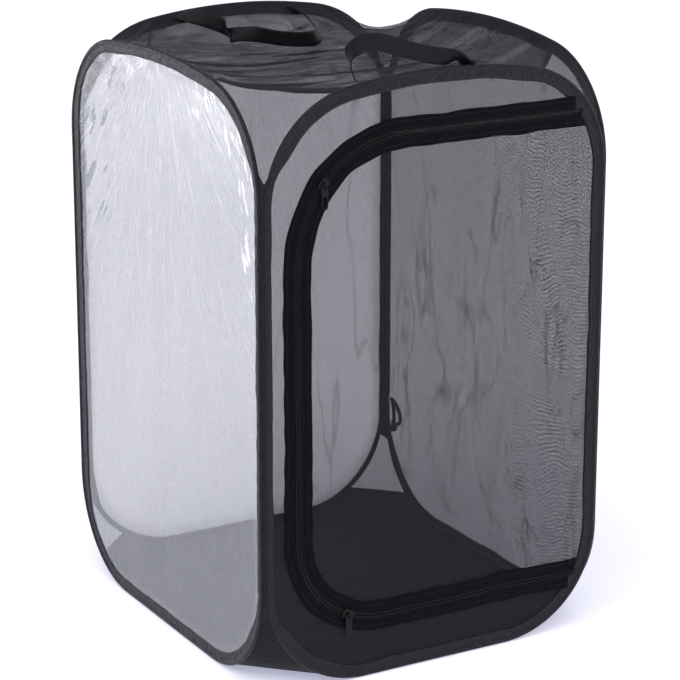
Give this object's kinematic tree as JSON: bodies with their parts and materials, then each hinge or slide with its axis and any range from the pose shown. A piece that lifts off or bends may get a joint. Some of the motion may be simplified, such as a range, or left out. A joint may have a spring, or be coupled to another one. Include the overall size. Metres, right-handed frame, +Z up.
{
  "type": "collapsible mesh insect cage",
  "caption": "Upright pop-up insect cage with spring-hoop walls, clear and mesh panels, a zipped mesh door and webbing handles, folding flat.",
  "frame": {"origin": "on the ground under the middle of the cage, at the middle of the floor cloth", "axes": "+X to the right seen from the zipped front, +Y to the back, +Z up"},
  "size_m": [0.4002, 0.4281, 0.637],
  "materials": {
    "binding_tape": "woven polyester tape, slight sheen",
    "spring_steel": "drawn spring wire",
    "mesh_cloth": "fine black insect mesh",
    "clear_vinyl": "clear soft vinyl, wrinkled",
    "floor_cloth": "black coated polyester",
    "zip_tape": "woven zip tape",
    "zip_coil": "nylon coil",
    "zip_metal": "black enamelled zinc",
    "webbing": "flat woven webbing",
    "elastic": "covered elastic",
    "black_plastic": "moulded black plastic"
  },
  "bodies": {
    "back_wall": {"back_binding": "binding_tape", "back_spring_hoop": "spring_steel", "back_hoop_sleeve": "spring_steel", "back_clear_panel": "clear_vinyl", "back_left_seam": "binding_tape", "back_right_seam": "binding_tape", "top_mesh_panel": "mesh_cloth", "bottom_fabric_panel": "floor_cloth", "top_back_left_gusset": "mesh_cloth", "top_back_right_gusset": "mesh_cloth", "bottom_back_left_gusset": "floor_cloth", "bottom_back_right_gusset": "floor_cloth"},
    "left_wall": {"left_binding": "binding_tape", "left_spring_hoop": "spring_steel", "left_hoop_sleeve": "spring_steel", "left_clear_panel": "clear_vinyl", "front_left_seam": "binding_tape", "top_front_left_gusset": "mesh_cloth", "bottom_front_left_gusset": "floor_cloth"},
    "right_wall": {"right_binding": "binding_tape", "right_spring_hoop": "spring_steel", "right_hoop_sleeve": "spring_steel", "right_mesh_panel": "mesh_cloth", "front_right_seam": "binding_tape", "top_front_right_gusset": "mesh_cloth", "bottom_front_right_gusset": "floor_cloth"},
    "front_wall": {"front_binding": "binding_tape", "front_spring_hoop": "spring_steel", "front_hoop_sleeve": "spring_steel", "front_mesh_panel": "mesh_cloth", "frame_zip_tape": "zip_tape", "frame_zip_coil": "zip_coil", "upper_zip_stop": "zip_metal", "lower_zip_stop": "zip_metal"},
    "door": {"door_mesh_panel": "mesh_cloth", "door_zip_tape": "zip_tape", "door_zip_coil": "zip_coil"},
    "upper_slider": {"upper_zip_slider": "zip_metal"},
    "upper_pull": {"upper_zip_pull": "zip_metal"},
    "lower_slider": {"lower_zip_slider": "zip_metal"},
    "lower_pull": {"lower_zip_pull": "zip_metal"},
    "front_strap": {"front_handle": "webbing"},
    "back_strap": {"back_handle": "webbing"},
    "storage_tie": {"storage_loop": "elastic", "storage_knob": "black_plastic"}
  },
  "joints": [
    {"name": "left_fold", "type": "hinge", "parent": "back_wall", "child": "left_wall", "pos_m": [-0.1899, 0.2074, 0.3], "axis": [0, 0, 1], "range_deg": [0, 85], "deforming": ["top_mesh_panel", "bottom_fabric_panel", "top_front_left_gusset", "top_front_right_gusset", "top_back_right_gusset", "top_back_left_gusset", "bottom_front_left_gusset", "bottom_front_right_gusset", "bottom_back_right_gusset", "bottom_back_left_gusset"]},
    {"name": "right_fold", "type": "hinge", "parent": "back_wall", "child": "right_wall", "pos_m": [0.1899, 0.2074, 0.3], "axis": [0, 0, 1], "range_deg": [0, 85]},
    {"name": "front_fold", "type": "hinge", "parent": "left_wall", "child": "front_wall", "pos_m": [-0.1899, -0.2074, 0.3], "axis": [0, 0, 1], "range_deg": [-85, 0]},
    {"name": "door_swing", "type": "hinge", "parent": "front_wall", "child": "door", "pos_m": [0.17, -0.2125, 0.3], "axis": [0, 0, 1], "range_deg": [0, 150]},
    {"name": "upper_slider_travel", "type": "hinge", "parent": "front_wall", "child": "upper_slider", "pos_m": [-0.043, -0.2101, 0.4285], "axis": [0, -1, 0], "range_deg": [-45, 38]},
    {"name": "upper_pull_swing", "type": "hinge", "parent": "upper_slider", "child": "upper_pull", "pos_m": [-0.12854, -0.2141, 0.50234], "axis": [-1, 0, 0], "range_deg": [0, 150]},
    {"name": "lower_slider_travel", "type": "hinge", "parent": "front_wall", "child": "lower_slider", "pos_m": [-0.062, -0.2101, 0.1555], "axis": [0, -1, 0], "range_deg": [-60, 22]},
    {"name": "lower_pull_swing", "type": "hinge", "parent": "lower_slider", "child": "lower_pull", "pos_m": [-0.10187, -0.2141, 0.07038], "axis": [-1, 0, 0], "range_deg": [0, 150]},
    {"name": "front_handle_swing", "type": "hinge", "parent": "front_wall", "child": "front_strap", "pos_m": [-0.1, -0.2101, 0.59425], "axis": [0.9991, 0, 0.0417], "range_deg": [-75, 110]},
    {"name": "back_handle_swing", "type": "hinge", "parent": "back_wall", "child": "back_strap", "pos_m": [0.072, 0.2101, 0.59793], "axis": [-1, 0, 0], "range_deg": [0, 160]},
    {"name": "storage_tie_swing", "type": "hinge", "parent": "right_wall", "child": "storage_tie", "pos_m": [0.1967, 0.2047, 0.124], "axis": [1, 0, 0], "range_deg": [-60, 60]}
  ],
  "couplings": [
    {"joint": "right_fold", "follows": "left_fold", "ratio": 1},
    {"joint": "front_fold", "follows": "left_fold", "ratio": -1}
  ]
}
